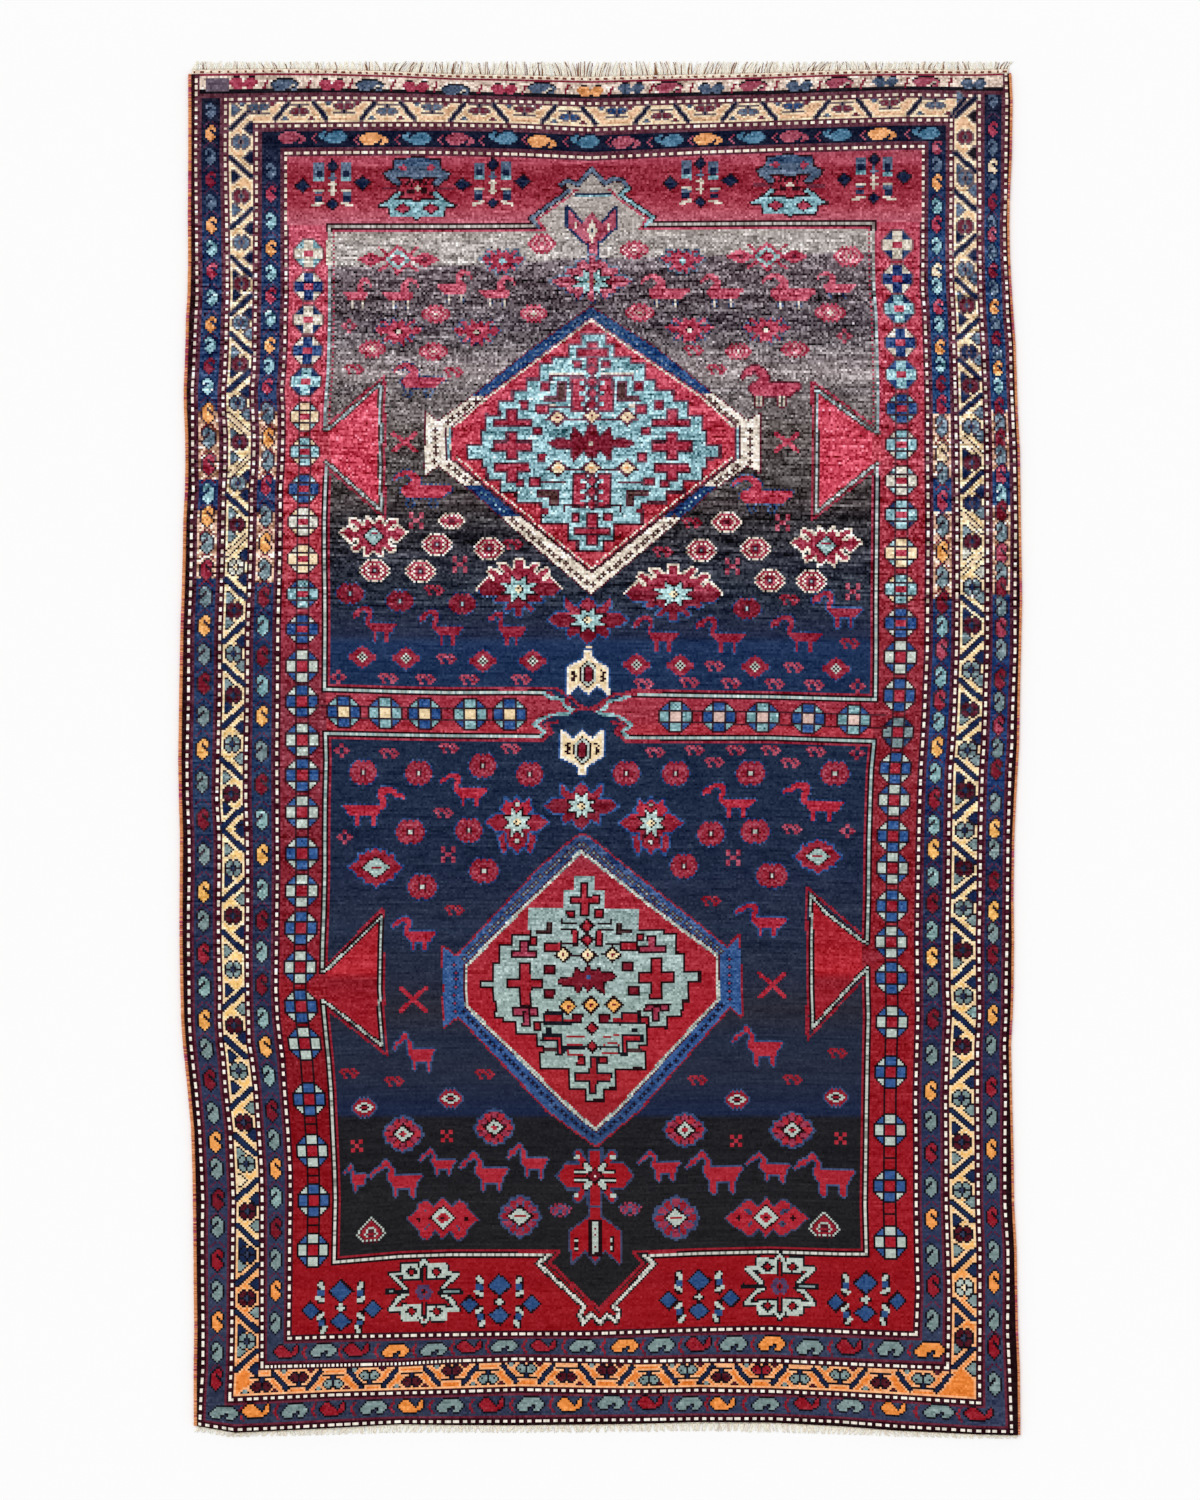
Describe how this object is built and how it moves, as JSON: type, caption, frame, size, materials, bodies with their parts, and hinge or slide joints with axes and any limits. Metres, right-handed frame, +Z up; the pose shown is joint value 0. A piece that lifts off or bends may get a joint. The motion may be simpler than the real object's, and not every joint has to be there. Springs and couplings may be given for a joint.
{
  "type": "kazak rug",
  "caption": "Flat hand-knotted wool rug with an uneven rectangular outline, wound side selvedges and a short warp fringe at both ends; lies on a floor.",
  "frame": {"origin": "centre of the rug's box, on the floor that it lies on", "axes": "+X across the rug, +Y along it towards its upper end, +Z up out of the pile"},
  "size_m": [1.419, 2.32, 0.008],
  "materials": {
    "pile_wool": "short worn wool pile, matte",
    "selvedge_wool": "wound wool yarn, matte",
    "warp_yarn": "undyed wool warp ends, matte"
  },
  "bodies": {
    "root": {"pile_rug": "pile_wool", "selvedge_left": "selvedge_wool", "selvedge_right": "selvedge_wool", "fringe_top": "warp_yarn", "fringe_bottom": "warp_yarn"}
  },
  "joints": []
}
